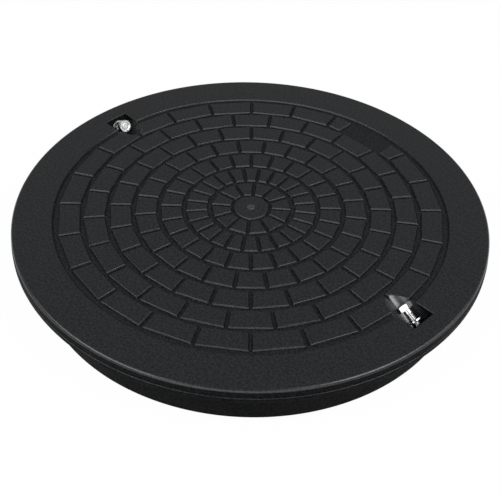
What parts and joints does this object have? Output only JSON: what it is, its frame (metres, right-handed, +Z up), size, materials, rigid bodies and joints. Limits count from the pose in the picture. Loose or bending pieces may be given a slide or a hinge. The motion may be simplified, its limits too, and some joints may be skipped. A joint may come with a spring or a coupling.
{
  "type": "drain cover",
  "caption": "Round moulded plastic drain cover with a concentric brick-pattern tread, deep skirt and stainless locking screws in scooped pockets.",
  "frame": {"origin": "centre of the cover, on the plane of the skirt's foot", "axes": "+Z up through the tread, X through the two lock pockets (right lock on +X), +Y towards the bare panel in the outer brick row"},
  "size_m": [0.464, 0.464, 0.0658],
  "materials": {
    "cover_plastic": "fine moulded texture, satin black",
    "screw_steel": "bright stainless",
    "washer_steel": "bright stainless",
    "nut_steel": "plain stainless"
  },
  "bodies": {
    "cover_body": {"cover": "cover_plastic", "washer_left": "washer_steel", "nut_right": "nut_steel", "nut_left": "nut_steel"},
    "right_screw": {"lock_screw_right": "screw_steel"},
    "left_screw": {"lock_screw_left": "screw_steel"},
    "right_washer": {"washer_right": "washer_steel"}
  },
  "joints": [
    {"name": "right_screw_in", "type": "slide", "parent": "cover_body", "child": "right_screw", "axis": [0.848, 0, -0.5299], "range_m": [-0.003, 0.0148]},
    {"name": "left_screw_in", "type": "slide", "parent": "cover_body", "child": "left_screw", "axis": [-0.848, 0, -0.5299], "range_m": [-0.0105, 0.0073]},
    {"name": "right_washer_seat", "type": "slide", "parent": "cover_body", "child": "right_washer", "axis": [0.848, 0, -0.5299], "range_m": [-0.0008, 0.0036]}
  ],
  "couplings": [
    {"joint": "right_washer_seat", "follows": "right_screw_in", "ratio": 0.2416}
  ]
}
